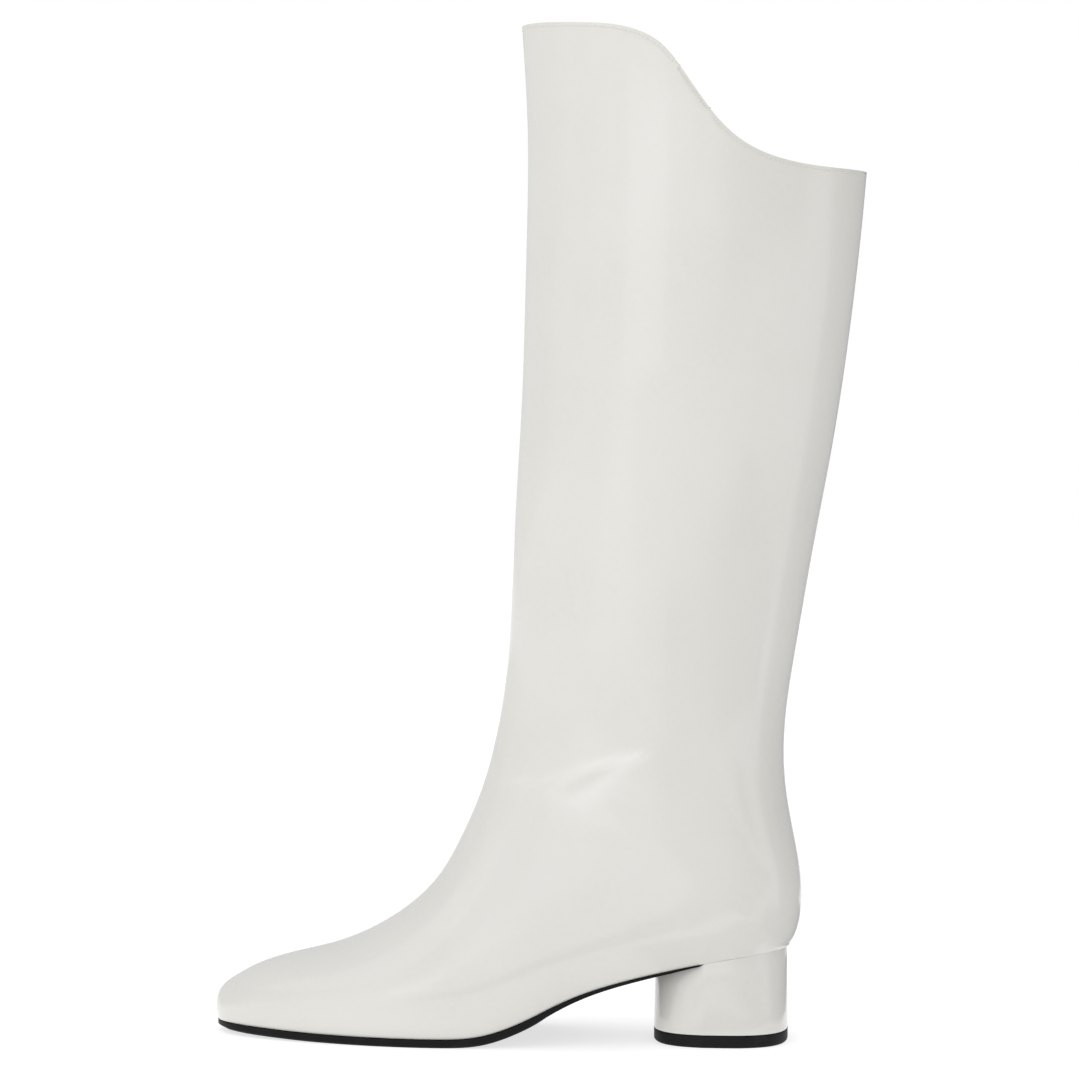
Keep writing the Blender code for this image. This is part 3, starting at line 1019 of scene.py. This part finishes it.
@dataclass
class Bottom:
    """What the foot stands on: the insole with its sock, the outsole, the heel and its top lift."""

    sock: LiningLeather = LiningLeather("undyed_sock", (0.66, 0.58, 0.46), (0.58, 0.5, 0.39), 0.55)
    sole: SoleRubber = SoleRubber("black_sole_rubber")
    cover: PolishedLeather = PolishedLeather("white_heel_leather")
    lift: SoleRubber = SoleRubber("black_lift_rubber", (0.009, 0.009, 0.01), (0.02, 0.02, 0.021), 0.55)
    sharp: float = 35.0
    round_power: float = 2.1
    square_power: float = 2.7
    squared: tuple[float, float] = (8.0, 32.0)
    seat_lift: float = 0.22
    seat_above: float = 20.0

    def build(self) -> list[bpy.types.Object]:
        """Builds and dresses the four pieces.

        Returns:
            The finished pieces.
        """
        return [
            self.piece("insole", "insole_sock", self.sock, "sock_lining", 1, 0.0006),
            self.piece("outsole", "sole_edge_and_tread", self.sole, "sole_rubber", 2, 0.0003),
            self.piece("heel", "heel_column", self.cover, "heel_leather", 2, 0.0004, self.square_up),
            self.piece("top_lift", "heel_top_lift", self.lift, "heel_rubber", 2, 0.0003, self.square_up),
        ]

    def piece(
        self,
        node: str,
        name: str,
        finish: Finish,
        slot: str,
        levels: int,
        radius: float,
        reshape: Optional[Callable[[bpy.types.Object], None]] = None,
    ) -> bpy.types.Object:
        """Rounds a copy of one solid and dresses it.

        Args:
            node: the solid's name.
            name: the new piece's name.
            finish: what it is made of.
            slot: the record's slot.
            levels: how finely it is rounded.
            radius: how far its edges are broken, in metres.
            reshape: what else is done to its shape.

        Returns:
            The finished piece.
        """
        made = Bench.copy_of(node, name)
        made.data.materials.append(finish.material())
        Bench.hold_edges(made, self.sharp)
        Bench.subdivide(made, levels)
        if reshape:
            reshape(made)
        Bench.round_edges(made, radius, self.sharp)
        Bench.shade(made, self.sharp)
        Bench.finish(made, slot, node)
        return made

    def square_up(self, piece: bpy.types.Object) -> None:
        """Makes the heel's round outline squarer towards the floor, and lifts its top to the upper."""
        points = Bench.points(piece)
        plan = points[:, :2]
        middle = (plan.max(axis=0) + plan.min(axis=0)) / 2.0
        half = (plan.max(axis=0) - plan.min(axis=0)) / 2.0
        spot = np.maximum(np.abs((plan - middle) / half), TINY)
        round_reach, square_reach = (
            np.sum(spot**power, axis=1) ** (1.0 / power) for power in (self.round_power, self.square_power)
        )
        share = 1.0 - soft_step(points[:, 2] / MM, *self.squared)
        grown = 1.0 + share * (round_reach / square_reach - 1.0)
        points[:, :2] = middle + (plan - middle) * grown[:, None]
        points[points[:, 2] > self.seat_above * MM, 2] += self.seat_lift * MM
        Bench.move(piece, points)


# Studio


@dataclass(frozen=True)
class Softbox:
    """A soft, square-cornered light."""

    name: str
    place: tuple[float, float, float]
    aim: tuple[float, float, float]
    width: float
    height: float
    brightness: float

    def build(self) -> None:
        """Hangs the light."""
        data = bpy.data.lights.new(self.name, "AREA")
        data.shape = "RECTANGLE"
        data.size = self.width
        data.size_y = self.height
        data.energy = self.brightness * math.pi * self.width * self.height
        lamp = bpy.data.objects.new(self.name, data)
        bpy.context.scene.collection.objects.link(lamp)
        lamp.location = self.place
        lamp.rotation_euler = (Vector(self.aim) - Vector(self.place)).to_track_quat("-Z", "Y").to_euler()
        lamp.visible_camera = False


@dataclass(frozen=True)
class Flag:
    """A dark card that stays out of the picture and shows only in the boot's polish."""

    name: str
    place: tuple[float, float, float]
    width: float
    length: float
    upright: bool = False

    def build(self, card: bpy.types.Material) -> None:
        """Lays the flag on the floor, or stands it up along its length, in the card that it is cut from."""
        bpy.ops.object.select_all(action="DESELECT")
        bpy.ops.mesh.primitive_plane_add(size=1.0)
        bpy.ops.transform.resize(value=(self.width, self.length, 1.0))
        if self.upright:
            bpy.ops.transform.rotate(value=math.pi / 2.0, orient_axis="Y", center_override=(0.0, 0.0, 0.0))
        bpy.ops.transform.translate(value=self.place)
        bpy.ops.object.transform_apply(location=True, rotation=True, scale=True)
        flag = bpy.context.active_object
        flag.name = flag.data.name = self.name
        flag.data.materials.append(card)
        flag.visible_camera = False
        flag.visible_diffuse = False
        flag.visible_shadow = False


@dataclass
class Studio:
    """The pale floor, the tent of light round the boot, the softboxes, the dark flags and the camera.

    The tent's walls are given as the azimuths, in degrees, at which each starts and how bright it is.
    """

    floor: PaleFloor = PaleFloor()
    floor_size: float = 12.0
    card: DarkCard = DarkCard()
    backdrop: float = 1.0
    walls: tuple[tuple[float, float], ...] = (
        (-180.0, 0.71),
        (-115.0, 0.64),
        (-80.0, 0.92),
        (-52.0, 1.2),
        (-28.0, 1.16),
        (-8.0, 1.22),
        (12.0, 0.6),
        (35.0, 0.46),
        (60.0, 1.1),
        (85.0, 0.25),
        (120.0, 0.06),
    )
    wall_blend: float = 7.0
    top: float = 0.93
    top_blend: tuple[float, float] = (0.35, 0.9)
    softboxes: tuple[Softbox, ...] = (
        Softbox("front_softbox", (-0.588, -1.53, 0.345), (0.03, 0.0, 0.345), 0.55, 0.39, 0.7),
        Softbox("low_softbox", (-0.545, -0.996, 0.08), (-0.467, -0.861, 1.068), 0.27, 0.85, 0.4),
        Softbox("quarter_softbox", (-0.27, -1.42, 0.563), (-0.05, -0.03, 0.05), 0.53, 0.3, 0.3),
        Softbox("toe_softbox", (-0.75, -0.35, 1.25), (-0.06, 0.0, 0.06), 1.1, 1.1, 0.42),
    )
    flags: tuple[Flag, ...] = (
        Flag("heel_flag", (0.33, 0.62, 0.21), 0.42, 1.3, upright=True),
        Flag("floor_flag", (0.39, -0.65, 0.003), 1.02, 0.9),
        Flag("seat_flag", (0.195, -0.0805, 0.003), 0.27, 0.089),
        Flag("back_flag", (0.234, 0.132, 0.003), 0.192, 0.336),
    )
    camera_turn: float = 5.0
    camera_distance: float = 1.5
    camera_height: float = 0.2686
    camera_tilt: float = 2.077
    lens: float = 116.37
    sensor: float = 36.0

    def build(self) -> None:
        """Sets up the studio."""
        self.lay_floor()
        self.light()
        for softbox in self.softboxes:
            softbox.build()
        card = self.card.material()
        for flag in self.flags:
            flag.build(card)
        self.place_camera()

    def lay_floor(self) -> None:
        """Lays the floor, which isn't part of the boot."""
        bpy.ops.object.select_all(action="DESELECT")
        bpy.ops.mesh.primitive_grid_add(x_subdivisions=8, y_subdivisions=8, size=self.floor_size)
        floor = bpy.context.active_object
        floor.name = floor.data.name = "studio_floor"
        floor.data.materials.append(self.floor.material())

    def light(self) -> None:
        """Hangs the tent of light: bright to the left of the boot, dim to its right."""
        scene = bpy.context.scene
        scene.view_settings.view_transform = "Standard"
        world = bpy.data.worlds.new("studio_tent")
        scene.world = world
        world.use_nodes = True
        sheet = Sheet(world.node_tree)
        x, y, z = sheet.split(sheet.node("ShaderNodeTexCoord", output="Generated"))
        azimuth = sheet.maths("ARCTAN2", x, 0.0 - y)
        tent: Number = self.walls[0][1]
        for (_, before), (start, after) in zip(self.walls, self.walls[1:]):
            seam = azimuth.rise(math.radians(start - self.wall_blend), math.radians(start + self.wall_blend))
            tent = tent + (after - before) * seam
        tent = tent + (self.top - tent) * z.rise(*self.top_blend)
        seen = sheet.node("ShaderNodeLightPath", output="Is Camera Ray")
        strength = tent + (self.backdrop - tent) * seen
        white = (1.0, 1.0, 1.0, 1.0)
        background = sheet.node("ShaderNodeBackground", sockets={"Color": white, "Strength": strength})
        sheet.node("ShaderNodeOutputWorld", sockets={"Surface": background})

    def place_camera(self) -> None:
        """Puts the camera at the photograph's angle."""
        turn = math.radians(self.camera_turn)
        tilt = math.radians(self.camera_tilt)
        data = bpy.data.cameras.new("photo_camera")
        data.lens = self.lens
        data.sensor_width = self.sensor
        camera = bpy.data.objects.new("photo_camera", data)
        bpy.context.scene.collection.objects.link(camera)
        ahead = Vector((-math.sin(turn), math.cos(turn), 0.0))
        camera.location = -ahead * self.camera_distance + Vector((0.0, 0.0, self.camera_height))
        gaze = ahead * math.cos(tilt) - Vector((0.0, 0.0, math.sin(tilt)))
        camera.rotation_euler = gaze.to_track_quat("-Z", "Y").to_euler()
        bpy.context.scene.camera = camera


def main() -> None:
    """Builds the boot's pieces in order, then the studio."""
    logging.basicConfig(level=logging.INFO, format="%(message)s")
    shell = Upper().build()
    CollarStitching().build(shell)
    Bottom().build()
    Studio().build()


if __name__ == "__main__":
    main()
